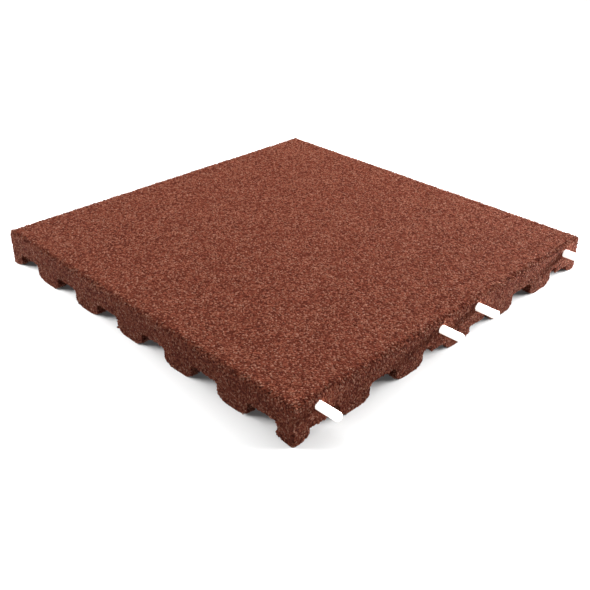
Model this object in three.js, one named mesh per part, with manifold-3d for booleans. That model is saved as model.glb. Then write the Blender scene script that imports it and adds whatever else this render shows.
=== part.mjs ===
// Rubber safety tile: one moulded plate of bonded rubber granulate with a channelled underside,
// and four plastic pins in one side that tie it to the next tile.
// Millimetres, +Z up. The origin is the middle of the underside, on the foot at the tile's centre.

import * as THREE from 'three';
import { mergeVertices } from 'three/addons/utils/BufferGeometryUtils.js';
import Module from 'manifold-3d';

// Plate
const tileLength = 500; // along X, across the pinned sides
const tileWidth = 500; // along Y
const tileHeight = 45;
const topEdgeRadius = 7; // rounding all round the walking surface
const cornerRadius = 3; // rounding of the four upright corners

// Drainage channels, the same in both directions
const channelsAcross = 6; // channels that run along Y, side by side along X
const channelsAlong = 6; // channels that run along X, side by side along Y
const channelHeight = 18.5;
const channelWidth = 40; // between the upright walls of neighbouring feet
const channelCeilingRadius = 5; // where a wall turns into the ceiling
const footFlatWidth = 16; // the part of a foot that touches the floor
const footShoulderHeight = 5.5; // height at which a foot's rounded underside meets its wall

// Blocks in the ends of the channels, which thicken the plate under its pins and holes
const pinBlockWidth = 32; // along the side, centred on the pin
const pinBlockUnderside = 11; // height above the floor
const pinBlockRounding = 3; // of its two lower edges

// Pins and their holes
const pinDiameter = 9.5;
const pinReachOut = 25.5; // length that stands out of the tile
const pinReachIn = 33; // length held in the tile
const pinEndRounding = 2.5;
const innerPinOffset = 32.5; // from the middle of the side to the two inner pins
const outerPinInset = 32.5; // from the ends of the side to the two outer pins
const pinClearance = 0.3; // around a pin and behind its inner end
const nextPinEndClearance = 3.5; // room behind the neighbour's pin in the open holes

// Smoothness of the round forms
const curveSteps = 4;
const pinSides = 24;

// Finishes
const rubberColor = '#82483a';
const rubberRoughness = 0.95;
const pinColor = '#f4f2ee';
const pinRoughness = 0.35;

const overcut = 5; // how far each cutter runs past the surface it opens
const slabMiddleHeight = (channelHeight + tileHeight) / 2;
const outerPinOffset = tileWidth / 2 - outerPinInset;
const pinOffsets = [-outerPinOffset, -innerPinOffset, innerPinOffset, outerPinOffset];

const wasm = await Module();
wasm.setup();

function solidFrom(geometry) {
  const bare = geometry.clone();
  bare.deleteAttribute('normal');
  bare.deleteAttribute('uv');
  const merged = mergeVertices(bare);
  return new wasm.Manifold(new wasm.Mesh({
    numProp: 3,
    vertProperties: new Float32Array(merged.attributes.position.array),
    triVerts: new Uint32Array(merged.index.array),
  }));
}

function geometryFrom(solid) {
  const mesh = solid.getMesh();
  const geometry = new THREE.BufferGeometry();
  geometry.setAttribute('position', new THREE.BufferAttribute(mesh.vertProperties, 3));
  geometry.setIndex(new THREE.BufferAttribute(mesh.triVerts, 1));
  geometry.computeVertexNormals();
  return geometry;
}

// A rectangle with rounded corners, centred on the origin.
function roundedRectangle(length, width, radius) {
  const x = length / 2;
  const y = width / 2;
  const shape = new THREE.Shape();
  shape.moveTo(x, -y + radius);
  shape.lineTo(x, y - radius);
  shape.absarc(x - radius, y - radius, radius, 0, Math.PI / 2);
  shape.lineTo(-x + radius, y);
  shape.absarc(-x + radius, y - radius, radius, Math.PI / 2, Math.PI);
  shape.lineTo(-x, -y + radius);
  shape.absarc(-x + radius, -y + radius, radius, Math.PI, 1.5 * Math.PI);
  shape.lineTo(x - radius, -y);
  shape.absarc(x - radius, -y + radius, radius, 1.5 * Math.PI, 2 * Math.PI);
  return shape;
}

// Section of the waste that rounds off a top edge, the sharp edge at the origin: x outwards, y up.
function topEdgeWaste() {
  const shape = new THREE.Shape();
  shape.moveTo(0, -topEdgeRadius);
  shape.absarc(-topEdgeRadius, -topEdgeRadius, topEdgeRadius, 0, Math.PI / 2);
  shape.lineTo(-topEdgeRadius, overcut);
  shape.lineTo(overcut, overcut);
  shape.lineTo(overcut, -topEdgeRadius);
  return shape;
}

// A straight run of a section, along Y and centred on the origin, the section's y turned up.
function straightRun(section, length) {
  const geometry = new THREE.ExtrudeGeometry(section, {
    depth: length,
    bevelEnabled: false,
    curveSegments: curveSteps,
  });
  geometry.translate(0, 0, -length / 2);
  geometry.rotateX(Math.PI / 2);
  return geometry;
}

// The plate before it is channelled, rounded at its upright corners and along its four top edges.
function plainPlate() {
  const block = new THREE.ExtrudeGeometry(roundedRectangle(tileLength, tileWidth, cornerRadius), {
    depth: tileHeight,
    bevelEnabled: false,
    curveSegments: curveSteps,
  });
  let solid = solidFrom(block);
  for (let quarter = 0; quarter < 4; quarter += 1) {
    const [across, along] = quarter % 2 ? [tileWidth, tileLength] : [tileLength, tileWidth];
    const waste = straightRun(topEdgeWaste(), along + 2 * overcut);
    waste.translate(across / 2, 0, tileHeight);
    waste.rotateZ(quarter * Math.PI / 2);
    solid = solid.subtract(solidFrom(waste));
  }
  return solid;
}

// Section of one channel, from foot to foot: x across the channel, y up, the floor at y = 0.
function channelSection(pitch) {
  const wall = channelWidth / 2;
  const footEdge = (pitch - footFlatWidth) / 2;
  const ceilingTurn = wall - channelCeilingRadius;
  const wallTop = channelHeight - channelCeilingRadius;
  const footTangent = (wall + footEdge) / 2;
  const shape = new THREE.Shape();
  shape.moveTo(-footEdge, -overcut);
  shape.lineTo(footEdge, -overcut);
  shape.lineTo(footEdge, 0);
  shape.quadraticCurveTo(footTangent, 0, wall, footShoulderHeight);
  shape.lineTo(wall, wallTop);
  shape.absarc(ceilingTurn, wallTop, channelCeilingRadius, 0, Math.PI / 2);
  shape.lineTo(-ceilingTurn, channelHeight);
  shape.absarc(-ceilingTurn, wallTop, channelCeilingRadius, Math.PI / 2, Math.PI);
  shape.lineTo(-wall, footShoulderHeight);
  shape.quadraticCurveTo(-footTangent, 0, -footEdge, 0);
  return shape;
}

// Section of the block under a pin: x along the side from the pin's middle, y up, the floor at y = 0.
function pinBlockSection() {
  const side = pinBlockWidth / 2;
  const turn = side - pinBlockRounding;
  const turnHeight = pinBlockUnderside + pinBlockRounding;
  const shape = new THREE.Shape();
  shape.moveTo(side, channelHeight + overcut);
  shape.lineTo(-side, channelHeight + overcut);
  shape.lineTo(-side, turnHeight);
  shape.absarc(-turn, turnHeight, pinBlockRounding, Math.PI, 1.5 * Math.PI);
  shape.lineTo(turn, pinBlockUnderside);
  shape.absarc(turn, turnHeight, pinBlockRounding, 1.5 * Math.PI, 2 * Math.PI);
  return shape;
}

// Middles of the channels, so that half a foot is left at each end of the row.
function channelPlaces(count, size) {
  const pitch = size / count;
  return Array.from({ length: count }, (_, i) => (i + 0.5) * pitch - size / 2);
}

// The blocks at both ends of the channels, each run in to the middle of the first cross channel,
// which trims it level with the half feet beside it.
function pinBlocks() {
  const inner = (tileLength - tileLength / channelsAcross) / 2;
  const length = tileLength / 2 + 2 * overcut - inner;
  const blocks = [];
  for (const end of [-1, 1]) {
    for (const y of pinOffsets) {
      const block = straightRun(pinBlockSection(), length);
      block.rotateZ(Math.PI / 2);
      block.translate(end * (inner + length / 2), y, 0);
      blocks.push(solidFrom(block));
    }
  }
  return blocks;
}

function pinHole(depth) {
  const length = depth + overcut;
  const geometry = new THREE.CylinderGeometry(
    pinDiameter / 2 + pinClearance,
    pinDiameter / 2 + pinClearance,
    length,
    pinSides,
  );
  geometry.rotateZ(-Math.PI / 2);
  geometry.translate(length / 2, 0, slabMiddleHeight);
  return geometry;
}

function rubberTile() {
  let solid = plainPlate();
  const blocks = pinBlocks();
  for (const x of channelPlaces(channelsAcross, tileLength)) {
    const cutter = straightRun(channelSection(tileLength / channelsAcross), tileWidth + 2 * overcut);
    cutter.translate(x, 0, 0);
    solid = solid.subtract(solidFrom(cutter));
  }
  for (const y of channelPlaces(channelsAlong, tileWidth)) {
    const cutter = straightRun(channelSection(tileWidth / channelsAlong), tileLength + 2 * overcut);
    cutter.rotateZ(Math.PI / 2);
    cutter.translate(0, y, 0);
    solid = solid.subtract(blocks.reduce((rest, block) => rest.subtract(block), solidFrom(cutter)));
  }
  const heldDepth = pinReachIn + pinClearance;
  const openDepth = pinReachOut + nextPinEndClearance;
  for (const y of pinOffsets) {
    const held = pinHole(heldDepth);
    held.translate(tileLength / 2 - heldDepth, y, 0);
    const open = pinHole(openDepth);
    open.translate(-tileLength / 2 - overcut, y, 0);
    solid = solid.subtract(solidFrom(held)).subtract(solidFrom(open));
  }
  return geometryFrom(solid);
}

// A round pin with softly rounded ends, its length along Z from the origin.
function pinGeometry() {
  const radius = pinDiameter / 2;
  const length = pinReachIn + pinReachOut;
  const outline = new THREE.Path();
  outline.moveTo(0, 0);
  outline.lineTo(radius - pinEndRounding, 0);
  outline.absarc(radius - pinEndRounding, pinEndRounding, pinEndRounding, -Math.PI / 2, 0);
  outline.lineTo(radius, length - pinEndRounding);
  outline.absarc(radius - pinEndRounding, length - pinEndRounding, pinEndRounding, 0, Math.PI / 2);
  outline.lineTo(0, length);
  const geometry = new THREE.LatheGeometry(outline.getPoints(curveSteps), pinSides);
  geometry.rotateX(Math.PI / 2);
  return geometry;
}

const part = new THREE.Group();

const tile = new THREE.Mesh(
  rubberTile(),
  new THREE.MeshStandardMaterial({ color: rubberColor, roughness: rubberRoughness, metalness: 0 }),
);
tile.name = 'rubber_tile';
part.add(tile);

pinOffsets.forEach((y, i) => {
  const pin = new THREE.Mesh(
    pinGeometry(),
    new THREE.MeshStandardMaterial({ color: pinColor, roughness: pinRoughness, metalness: 0 }),
  );
  pin.name = `connecting_pin_${i + 1}`;
  pin.rotation.y = Math.PI / 2;
  pin.position.set(tileLength / 2 - pinReachIn, y, slabMiddleHeight);
  part.add(pin);
});

export default part;
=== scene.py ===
import math

import bmesh
import bpy
import numpy as np
from mathutils import Euler, Matrix, Vector


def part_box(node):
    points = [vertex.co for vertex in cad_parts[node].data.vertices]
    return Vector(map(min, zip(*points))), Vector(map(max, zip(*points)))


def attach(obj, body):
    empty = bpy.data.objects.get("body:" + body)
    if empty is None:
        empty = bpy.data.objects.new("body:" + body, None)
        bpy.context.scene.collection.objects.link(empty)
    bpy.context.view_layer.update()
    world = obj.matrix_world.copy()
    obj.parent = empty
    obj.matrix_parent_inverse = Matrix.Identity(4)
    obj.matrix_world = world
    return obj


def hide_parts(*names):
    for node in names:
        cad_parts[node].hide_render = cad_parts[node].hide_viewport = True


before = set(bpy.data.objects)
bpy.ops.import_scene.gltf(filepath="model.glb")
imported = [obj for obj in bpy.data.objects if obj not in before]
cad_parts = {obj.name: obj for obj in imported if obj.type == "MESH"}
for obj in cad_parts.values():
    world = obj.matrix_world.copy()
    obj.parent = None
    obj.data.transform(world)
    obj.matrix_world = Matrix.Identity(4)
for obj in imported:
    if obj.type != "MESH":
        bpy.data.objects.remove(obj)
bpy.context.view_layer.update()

MM = 0.001

# The tile's two corners, read from the frame
tile_low, tile_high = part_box("rubber_tile")

# The skin is the top and the sides, where the crumbs stand out most
skin_reach = 8 * MM  # a face within this of the top or of a side can belong to the skin
top_face_rise = 0.5  # least upward part of a top face's normal
side_face_rise = 0.9  # greatest upward or downward part of a side face's normal

# The bed: the tile's own shape as a fine even mesh, drawn in a little so that crumbs can stand out of it
bed_weld = 0.01 * MM  # points of the frame's mesh closer than this become one
bed_mesh_halvings = 8  # the box round the tile is halved this often to give the mesh its squares
bed_mesh_share = 0.99  # of that box, which the tile fills
bed_faces_kept = 0.34  # share of the faces left after the flat parts are thinned out
bed_side_margin = 1 * MM  # points within this of a side are drawn in as skin
skin_bed_depth = 0.5 * MM
channel_bed_depth = 0.2 * MM
bed_roughness = 0.6 * MM  # from the lowest to the highest point
bed_seed = 7

# Crumbs of ground rubber, bonded and pressed. The real ones measure 1 to 4 mm. These are drawn a little
# coarser, because smaller ones would take too many triangles to cover the tile.
crumb_smallest = 2.0 * MM
crumb_largest = 4.2 * MM
crumb_tear = 0.4 * MM  # how far each point of a crumb is pulled out of place
crumb_segments = 4  # with two rings this makes eight faces, enough for a broken crumb
crumb_rings = 2
crumb_radius = 0.5  # half a unit, so that a crumb's scale is its size
skin_spacing = 2.1 * MM
underside_spacing = 2.7 * MM
crumb_tries = 3  # places tried for each square of the spacing
skin_seed = 11
underside_seed = 29
strip_edge = 90 * MM  # the top's crumbs are three pieces, parted here to the left and right of the middle
press_depth = 0.5 * MM  # thickness of the outermost layer, in which the mould flattened the crumbs

# Crumbs half torn out of the feet's lower edges, in the places where the photograph shows them
torn_crumb_smallest = 1.82 * MM
torn_crumb_largest = 3.38 * MM
torn_crumb_shade = 0.1  # near the dark end of the crumbs' colours
torn_crumb_seed = 5
torn_crumb_places = [
    (-98.6, -248.6, 1.7),
    (-100.4, -248.7, 1.5),
    (-102.2, -248.8, 1.4),
    (-24.4, -248.8, 4.1),
    (-22.8, -248.4, 4.8),
    (227.0, -248.6, 5.3),
    (228.2, -248.8, 3.6),
    (230.2, -248.9, 2.6),
    (249.2, 87.6, 1.2),
    (248.6, 86.0, 1.3),
]

# Patterns in the finishes, at their real sizes
bed_lump_size = 1.8 * MM
bed_lump_height = 0.8 * MM
crumb_pit_size = 0.5 * MM
crumb_pit_depth = 0.2 * MM
pin_cloud_size = 12 * MM

# Camera, fitted to the tile's corners and channels in the photograph
camera_azimuth = math.radians(44.78)
camera_elevation = math.radians(29.97)
camera_roll = math.radians(0.72)
camera_distance = 1055.5 * MM
camera_aim_right = 0.8 * MM
camera_aim_up = -38.4 * MM
camera_nearest = 0.05
camera_farthest = 50
focal_pixels = 835.2
picture_width = 590
picture_gamma = 0.83
sensor_width = 36  # millimetres, as the camera takes it

# Floor and light. A softbox is its name, its place, the point it faces, its two sides and its watts.
floor_reach = 6.0
floor_color = "#8a8a8a"
room_light = 0.12
tile_softboxes = [
    ("overhead", (-0.5, 0.7, 2.4), (-0.5, 0.7, 0), (3.6, 3.6), 179),
    ("left_side", (-1.1, -0.5, 0.2), (-0.25, -0.25, 0.02), (0.5, 0.24), 17),
    ("right_side", (0.5, 1.1, 0.2), (0.25, 0.25, 0.02), (0.5, 0.24), 46),
]
# These light only the floor and the pins. They turn the grey floor white right up to the feet, as it is in
# the photograph, while the rubber's sides stay dark.
floor_softboxes = [
    ("left_under", (-1.25, -1.15, 0.4), (0, 0, 0), (1.0, 0.3), 240),
    ("right_under", (1.15, 1.25, 0.4), (0, 0, 0), (1.0, 0.3), 220),
    ("front_under", (1.6, -1.6, 0.4), (0, 0, 0), (1.0, 0.3), 70),
    ("floor_behind", (-1.6, 1.6, 1.6), (-1.6, 1.6, 0), (2.0, 2.0), 75),
]


def linear(hex_color):
    """Turns an sRGB hex value into the linear colour that a shader takes."""
    channels = [int(hex_color[i:i + 2], 16) / 255 for i in (1, 3, 5)]
    return [c / 12.92 if c <= 0.04045 else ((c + 0.055) / 1.055) ** 2.4 for c in channels] + [1.0]


def add_node(tree, kind, inputs=None, **settings):
    """Adds a node. Settings are its attributes; inputs maps each socket to a value or to the socket that
    feeds it."""
    node = tree.nodes.new(kind)
    for name, value in settings.items():
        setattr(node, name, value)
    for name, value in (inputs or {}).items():
        if isinstance(value, bpy.types.NodeSocket):
            tree.links.new(value, node.inputs[name])
        else:
            node.inputs[name].default_value = value
    return node


def set_ramp(node, stops):
    """Gives a colour ramp its stops, a list of (place, hex colour)."""
    ramp = node.color_ramp
    while len(ramp.elements) < len(stops):
        ramp.elements.new(1.0)
    for element, (place, color) in zip(ramp.elements, stops):
        element.position = place
        element.color = linear(color)


def new_material(name, finish):
    """Makes a material; finish maps its shader's sockets to their values."""
    material = bpy.data.materials.new(name)
    material.use_nodes = True
    shader = material.node_tree.nodes["Principled BSDF"]
    for socket, value in finish.items():
        shader.inputs[socket].default_value = value
    return material, material.node_tree, shader


def crumb_bed_rubber():
    """Ground rubber, dyed red-brown and pressed with a binder, as it lies deep between the crumbs: dull and
    warm, with small lumps. Its colours run darker than the crumbs' as painted shade in the gaps between them."""
    material, tree, shader = new_material(
        "red_brown_rubber_bed",
        {"Roughness": 0.95, "IOR": 1.52, "Specular IOR Level": 0.1},
    )
    place = add_node(tree, "ShaderNodeTexCoord").outputs["Object"]
    lumps = add_node(tree, "ShaderNodeTexVoronoi", {"Vector": place, "Scale": 1 / bed_lump_size})
    shade = add_node(tree, "ShaderNodeSeparateColor", {"Color": lumps.outputs["Color"]})
    color = add_node(tree, "ShaderNodeValToRGB", {"Fac": shade.outputs[0]})
    # Darker than the crumbs' colours: painted shade for the gaps between the crumbs
    set_ramp(color, [(0.0, "#4b2217"), (0.6, "#643325"), (1.0, "#7a4737")])
    tree.links.new(color.outputs[0], shader.inputs["Base Color"])
    dome = add_node(tree, "ShaderNodeMapRange", {
        "Value": lumps.outputs["Distance"], "From Min": 0.1, "From Max": 0.75, "To Min": 1.0, "To Max": 0.0,
    })
    bump = add_node(tree, "ShaderNodeBump", {"Height": dome.outputs[0], "Distance": bed_lump_height})
    tree.links.new(bump.outputs[0], shader.inputs["Normal"])
    return material


def crumb_rubber():
    """The same rubber as single crumbs: each has one shade all over, and a torn, slightly pitted skin whose
    pits are darkened as painted shade.
    """
    material, tree, shader = new_material(
        "red_brown_rubber_crumbs",
        {"Roughness": 0.85, "IOR": 1.52, "Specular IOR Level": 0.15},
    )
    place = add_node(tree, "ShaderNodeTexCoord").outputs["Object"]
    shade = add_node(tree, "ShaderNodeAttribute", attribute_name="shade")
    crumb_color = add_node(tree, "ShaderNodeValToRGB", {"Fac": shade.outputs["Fac"]})
    set_ramp(crumb_color, [
        (0.0, "#4d2016"),
        (0.3, "#713d2c"),
        (0.6, "#7e503f"),
        (0.9, "#845c4d"),
        (1.0, "#8e6757"),
    ])
    pits = add_node(tree, "ShaderNodeTexNoise", {"Vector": place, "Scale": 1 / crumb_pit_size, "Detail": 2.0})
    # Painted shade: darker in the pits and a little lighter on the rises of the noise that bumps the skin
    pit_painted_shade = add_node(tree, "ShaderNodeMapRange", {
        "Value": pits.outputs[0], "From Min": 0.3, "From Max": 0.7, "To Min": 0.88, "To Max": 1.08,
    })
    color = add_node(
        tree,
        "ShaderNodeVectorMath",
        {0: crumb_color.outputs[0], 1: pit_painted_shade.outputs[0]},
        operation="MULTIPLY",
    )
    tree.links.new(color.outputs[0], shader.inputs["Base Color"])
    bump = add_node(
        tree,
        "ShaderNodeBump",
        {"Height": pits.outputs[0], "Strength": 0.6, "Distance": crumb_pit_depth},
    )
    tree.links.new(bump.outputs[0], shader.inputs["Normal"])
    return material


def white_pin_plastic():
    """Natural polyethylene, moulded: white, smooth and a little waxy, with faint clouds."""
    material, tree, shader = new_material("white_polyethylene", {"Roughness": 0.4, "IOR": 1.51})
    place = add_node(tree, "ShaderNodeTexCoord").outputs["Object"]
    cloud = add_node(
        tree,
        "ShaderNodeTexNoise",
        {"Vector": place, "Scale": 1 / pin_cloud_size, "Detail": 3.0},
    )
    tint = add_node(tree, "ShaderNodeValToRGB", {"Fac": cloud.outputs[0]})
    set_ramp(tint, [(0.3, "#d6d3cf"), (0.7, "#dedbd8")])
    tree.links.new(tint.outputs[0], shader.inputs["Base Color"])
    return material


def link(name, mesh, material):
    """Puts a mesh into the scene under a name, with one material."""
    obj = bpy.data.objects.new(name, mesh)
    bpy.context.scene.collection.objects.link(obj)
    obj.data.materials.clear()
    obj.data.materials.append(material)
    return obj


def applied(obj):
    """Applies the object's modifiers to its mesh."""
    graph = bpy.context.evaluated_depsgraph_get()
    mesh = bpy.data.meshes.new_from_object(obj.evaluated_get(graph))
    obj.modifiers.clear()
    obj.data = mesh
    return obj


def read_points(mesh):
    """The places of the mesh's points, one row a point."""
    places = np.empty(len(mesh.vertices) * 3, np.float32)
    mesh.vertices.foreach_get("co", places)
    return places.reshape(-1, 3)


def write_points(mesh, places):
    """Moves the mesh's points to these places."""
    mesh.vertices.foreach_set("co", places.astype(np.float32).ravel())
    mesh.update()


def press_inside(mesh):
    """Presses the points in the outermost layer inwards, as the mould does, so that none leaves the tile's
    size."""
    places = read_points(mesh)
    low = np.array(tile_low)
    high = np.array(tile_high)
    over = places - (high - press_depth)
    places = np.where(over > 0, high - press_depth * np.exp(-np.maximum(over, 0) / press_depth), places)
    under = (low + press_depth) - places
    places = np.where(under > 0, low + press_depth * np.exp(-np.maximum(under, 0) / press_depth), places)
    write_points(mesh, places)


def build_bed(material):
    """Builds the tile's own shape as an even mesh, drawn in below the crumbs' tops and made uneven."""
    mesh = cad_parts["rubber_tile"].data.copy()
    bm = bmesh.new()
    bm.from_mesh(mesh)
    bmesh.ops.remove_doubles(bm, verts=bm.verts, dist=bed_weld)
    bm.to_mesh(mesh)
    bm.free()
    bed = link("crumb_bed", mesh, material)
    remesh = bed.modifiers.new("even_mesh", "REMESH")
    remesh.mode = "SHARP"
    remesh.octree_depth = bed_mesh_halvings
    remesh.scale = bed_mesh_share
    thin_out = bed.modifiers.new("thin_out", "DECIMATE")
    thin_out.ratio = bed_faces_kept
    applied(bed)
    places = read_points(bed.data)
    normals = np.empty(places.size, np.float32)
    bed.data.vertex_normals.foreach_get("vector", normals)
    normals = normals.reshape(-1, 3)
    rng = np.random.default_rng(bed_seed)
    reach = np.abs(places[:, :2]).max(1)
    on_skin = (places[:, 2] > tile_high.z - skin_reach) | (reach > tile_high.x - bed_side_margin)
    depth = np.where(on_skin, skin_bed_depth, channel_bed_depth)
    depth = depth + bed_roughness * (rng.random(len(places)) - 0.5)
    write_points(bed.data, places - depth[:, None] * normals)
    press_inside(bed.data)
    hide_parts("rubber_tile")
    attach(bed, "root")
    return bed


def crumb_scatter(name, spacing, seed, material):
    """Makes geometry nodes that cover a surface with small angular crumbs, each with its own shade."""
    group = bpy.data.node_groups.new(name, "GeometryNodeTree")
    group.interface.new_socket("Geometry", in_out="INPUT", socket_type="NodeSocketGeometry")
    group.interface.new_socket("Geometry", in_out="OUTPUT", socket_type="NodeSocketGeometry")
    surface = add_node(group, "NodeGroupInput").outputs[0]
    points = add_node(
        group,
        "GeometryNodeDistributePointsOnFaces",
        {"Mesh": surface, "Distance Min": spacing, "Density Max": crumb_tries / spacing ** 2, "Seed": seed},
        distribute_method="POISSON",
    )
    crumb = add_node(
        group,
        "GeometryNodeMeshUVSphere",
        {"Segments": crumb_segments, "Rings": crumb_rings, "Radius": crumb_radius},
    )
    turn = add_node(
        group,
        "FunctionNodeRandomValue",
        {0: (0, 0, 0), 1: (math.tau,) * 3, "Seed": seed + 1},
        data_type="FLOAT_VECTOR",
    )
    size = add_node(
        group,
        "FunctionNodeRandomValue",
        {0: (crumb_smallest,) * 3, 1: (crumb_largest,) * 3, "Seed": seed + 2},
        data_type="FLOAT_VECTOR",
    )
    crumbs = add_node(group, "GeometryNodeInstanceOnPoints", {
        "Points": points.outputs["Points"],
        "Instance": crumb.outputs["Mesh"],
        "Rotation": turn.outputs[0],
        "Scale": size.outputs[0],
    })
    shade = add_node(group, "FunctionNodeRandomValue", {2: 0.0, 3: 1.0, "Seed": seed + 3}, data_type="FLOAT")
    shaded = add_node(
        group,
        "GeometryNodeStoreNamedAttribute",
        {"Geometry": crumbs.outputs[0], "Name": "shade", "Value": shade.outputs[1]},
        data_type="FLOAT",
        domain="INSTANCE",
    )
    real = add_node(group, "GeometryNodeRealizeInstances", {"Geometry": shaded.outputs[0]})
    tear = add_node(
        group,
        "FunctionNodeRandomValue",
        {0: (-crumb_tear,) * 3, 1: (crumb_tear,) * 3, "Seed": seed + 4},
        data_type="FLOAT_VECTOR",
    )
    torn = add_node(
        group,
        "GeometryNodeSetPosition",
        {"Geometry": real.outputs[0], "Offset": tear.outputs[0]},
    )
    dressed = add_node(group, "GeometryNodeSetMaterial", {"Geometry": torn.outputs[0], "Material": material})
    add_node(group, "NodeGroupOutput", {0: dressed.outputs[0]})
    return group


def skin_of(face):
    """Tells whether a face of the bed looks up, out of a side, or down and into the channels."""
    middle = face.calc_center_median()
    if face.normal.z > top_face_rise and middle.z > tile_high.z - skin_reach:
        return "top"
    reach = max(abs(middle.x), abs(middle.y))
    if reach > tile_high.x - skin_reach and abs(face.normal.z) < side_face_rise:
        return "side"
    return "underside"


def lay_crumbs(name, bed, skin, x_from, x_to, scatter, material):
    """Lays crumbs on one skin of the bed between two places along X, as one mesh of its own."""
    mesh = bed.data.copy()
    bm = bmesh.new()
    bm.from_mesh(mesh)
    others = [f for f in bm.faces if skin_of(f) != skin or not x_from <= f.calc_center_median().x < x_to]
    bmesh.ops.delete(bm, geom=others, context="FACES")
    bm.to_mesh(mesh)
    bm.free()
    crumbs = link(name, mesh, material)
    crumbs.modifiers.new("scatter", "NODES").node_group = scatter
    applied(crumbs)
    press_inside(crumbs.data)
    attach(crumbs, "root")


def lay_torn_crumbs(material):
    """Builds the few torn crumbs as one mesh, each with its own size and turn and all of one dark shade."""
    rng = np.random.default_rng(torn_crumb_seed)
    bm = bmesh.new()
    for place in torn_crumb_places:
        turn = Euler(rng.random(3) * math.tau).to_matrix().to_4x4()
        size = Matrix.Diagonal((*rng.uniform(torn_crumb_smallest, torn_crumb_largest, 3), 1))
        bmesh.ops.create_icosphere(
            bm,
            subdivisions=1,
            radius=crumb_radius,
            matrix=Matrix.Translation(Vector(place) * MM) @ turn @ size,
        )
    mesh = bpy.data.meshes.new("torn_crumbs")
    bm.to_mesh(mesh)
    bm.free()
    torn = link("torn_crumbs", mesh, material)
    shade = mesh.attributes.new("shade", "FLOAT", "POINT")
    shade.data.foreach_set("value", np.full(len(mesh.vertices), torn_crumb_shade, np.float32))
    press_inside(mesh)
    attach(torn, "root")


def dress_pins(material):
    """Gives the frame's own pins their plastic."""
    pins = [node for name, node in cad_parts.items() if name.startswith("connecting_pin")]
    for pin in pins:
        pin.data.materials.clear()
        pin.data.materials.append(material)
    return pins


def build_floor():
    """Builds the level floor under the tile: matt and even, with nothing on it for the eye."""
    bm = bmesh.new()
    bmesh.ops.create_grid(bm, x_segments=1, y_segments=1, size=floor_reach)
    mesh = bpy.data.meshes.new("floor")
    bm.to_mesh(mesh)
    bm.free()
    finish = {"Base Color": linear(floor_color), "Roughness": 0.9, "IOR": 1.45}
    floor = link("floor", mesh, new_material("white_floor", finish)[0])
    return floor


def build_camera():
    """Stands the camera where the photograph was taken from."""
    data = bpy.data.cameras.new("camera")
    data.sensor_width = sensor_width
    data.lens = focal_pixels / picture_width * sensor_width
    data.clip_start = camera_nearest
    data.clip_end = camera_farthest
    camera = bpy.data.objects.new("camera", data)
    bpy.context.scene.collection.objects.link(camera)
    aim = Vector((
        -math.sin(camera_azimuth) * math.cos(camera_elevation),
        math.cos(camera_azimuth) * math.cos(camera_elevation),
        -math.sin(camera_elevation),
    ))
    level = Vector((math.cos(camera_azimuth), math.sin(camera_azimuth), 0))
    rise = level.cross(aim)
    right = math.cos(camera_roll) * level + math.sin(camera_roll) * rise
    up = math.cos(camera_roll) * rise - math.sin(camera_roll) * level
    turn = Matrix((right, up, -aim)).transposed().to_4x4()
    camera.matrix_world = Matrix.Translation(
        camera_aim_right * right + camera_aim_up * up - camera_distance * aim
    ) @ turn
    bpy.context.scene.camera = camera


def add_softbox(name, place, target, size, power):
    """Adds a rectangular softbox that faces its target."""
    data = bpy.data.lights.new(name, "AREA")
    data.shape = "RECTANGLE"
    data.size, data.size_y = size
    data.energy = power
    lamp = bpy.data.objects.new(name, data)
    lamp.location = place
    lamp.rotation_mode = "QUATERNION"
    lamp.rotation_quaternion = (Vector(target) - Vector(place)).to_track_quat("-Z", "Y")
    bpy.context.scene.collection.objects.link(lamp)
    return lamp


def build_light(floor, pins):
    """Lights the scene evenly from all round, with softboxes for the tile and others for the floor."""
    world = bpy.data.worlds.new("studio")
    world.use_nodes = True
    background = world.node_tree.nodes["Background"]
    background.inputs["Color"].default_value = (1, 1, 1, 1)
    background.inputs["Strength"].default_value = room_light
    bpy.context.scene.world = world
    for softbox in tile_softboxes:
        add_softbox(*softbox)
    pale = bpy.data.collections.new("pale_things")
    for thing in (floor, *pins):
        pale.objects.link(thing)
    for softbox in floor_softboxes:
        add_softbox(*softbox).light_linking.receiver_collection = pale


bed = build_bed(crumb_bed_rubber())
crumbs = crumb_rubber()
skin_scatter = crumb_scatter("skin_crumbs", skin_spacing, skin_seed, crumbs)
underside_scatter = crumb_scatter("underside_crumbs", underside_spacing, underside_seed, crumbs)
lay_crumbs("top_crumbs_left", bed, "top", -math.inf, -strip_edge, skin_scatter, crumbs)
lay_crumbs("top_crumbs_middle", bed, "top", -strip_edge, strip_edge, skin_scatter, crumbs)
lay_crumbs("top_crumbs_right", bed, "top", strip_edge, math.inf, skin_scatter, crumbs)
lay_crumbs("side_crumbs", bed, "side", -math.inf, math.inf, skin_scatter, crumbs)
lay_crumbs("underside_crumbs", bed, "underside", -math.inf, math.inf, underside_scatter, crumbs)
lay_torn_crumbs(crumbs)
pins = dress_pins(white_pin_plastic())
floor = build_floor()
build_camera()
build_light(floor, pins)
bpy.context.scene.view_settings.view_transform = "Standard"
bpy.context.scene.view_settings.gamma = picture_gamma
